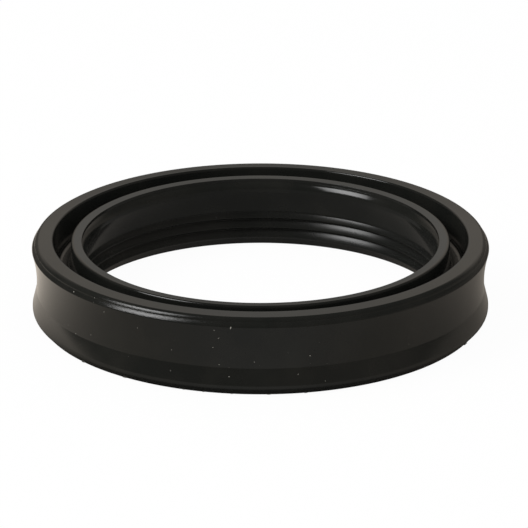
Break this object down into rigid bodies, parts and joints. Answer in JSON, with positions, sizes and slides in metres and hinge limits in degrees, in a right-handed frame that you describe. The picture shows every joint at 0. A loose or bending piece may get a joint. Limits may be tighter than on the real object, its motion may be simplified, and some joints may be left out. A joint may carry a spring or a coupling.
{
  "type": "u-cup lip seal",
  "caption": "One-piece rubber U-cup ring with two flared lips, a pressure groove between them and a ribbed bore.",
  "frame": {"origin": "centre of the flat heel face that the seal rests on", "axes": "+Z along the ring's axis, from the heel towards the lips and the open pressure groove; X and Y are any two directions across it, because the ring is round"},
  "size_m": [0.0722, 0.0722, 0.0124],
  "materials": {
    "nitrile_rubber": "satin moulded black rubber"
  },
  "bodies": {
    "root": {"u_cup_seal": "nitrile_rubber"}
  },
  "joints": []
}
